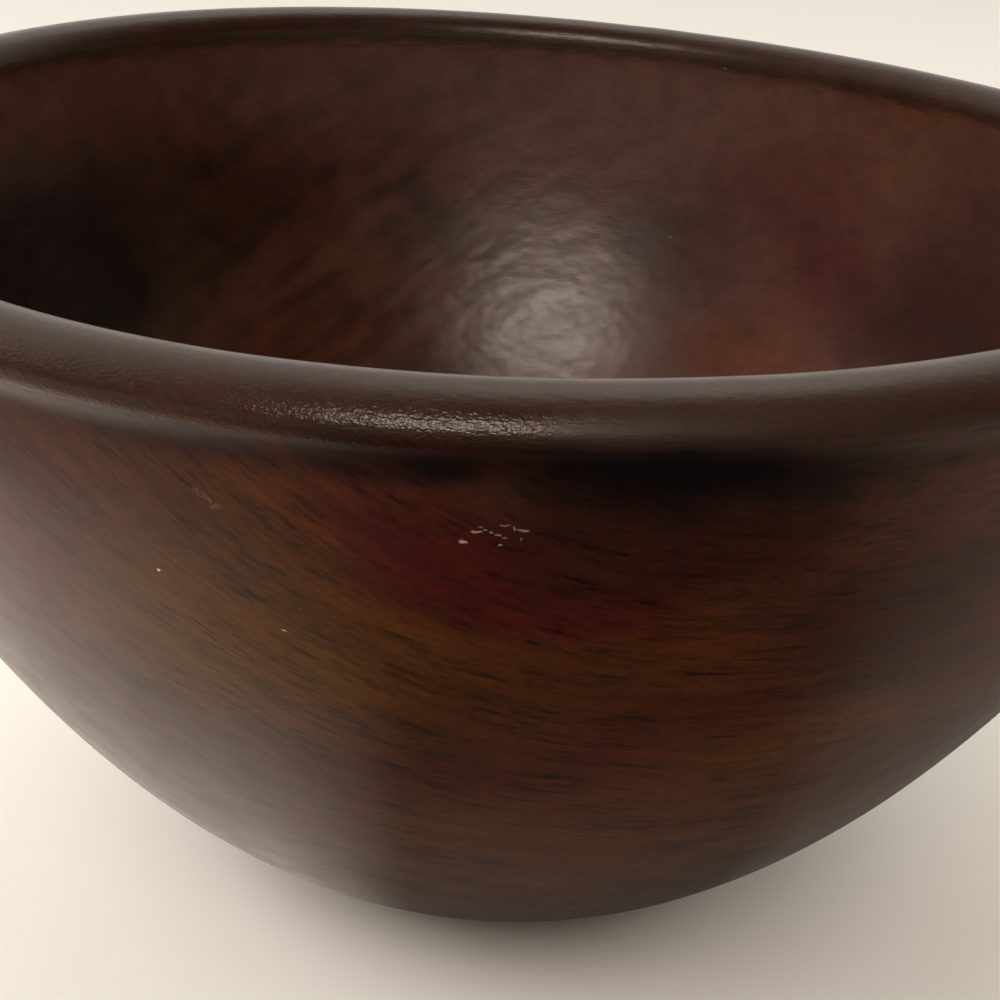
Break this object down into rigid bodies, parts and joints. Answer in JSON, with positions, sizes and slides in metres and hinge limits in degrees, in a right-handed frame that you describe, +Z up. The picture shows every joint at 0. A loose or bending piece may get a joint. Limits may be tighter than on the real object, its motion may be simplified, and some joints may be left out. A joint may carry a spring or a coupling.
{
  "type": "wooden salad bowl",
  "caption": "Deep round wooden serving bowl turned in one piece, with a thick rolled rim over a soft cove, a rounded belly and a low foot ring.",
  "frame": {"origin": "middle of the foot, on the plane that it rests on", "axes": "+Z up out of the mouth, +Y away from the picture's camera, +X to its right"},
  "size_m": [0.305, 0.305, 0.1608],
  "materials": {
    "stained_wood": "dark red-brown stain under a satin lacquer, with fine open pores"
  },
  "bodies": {
    "root": {"bowl_body": "stained_wood"}
  },
  "joints": []
}
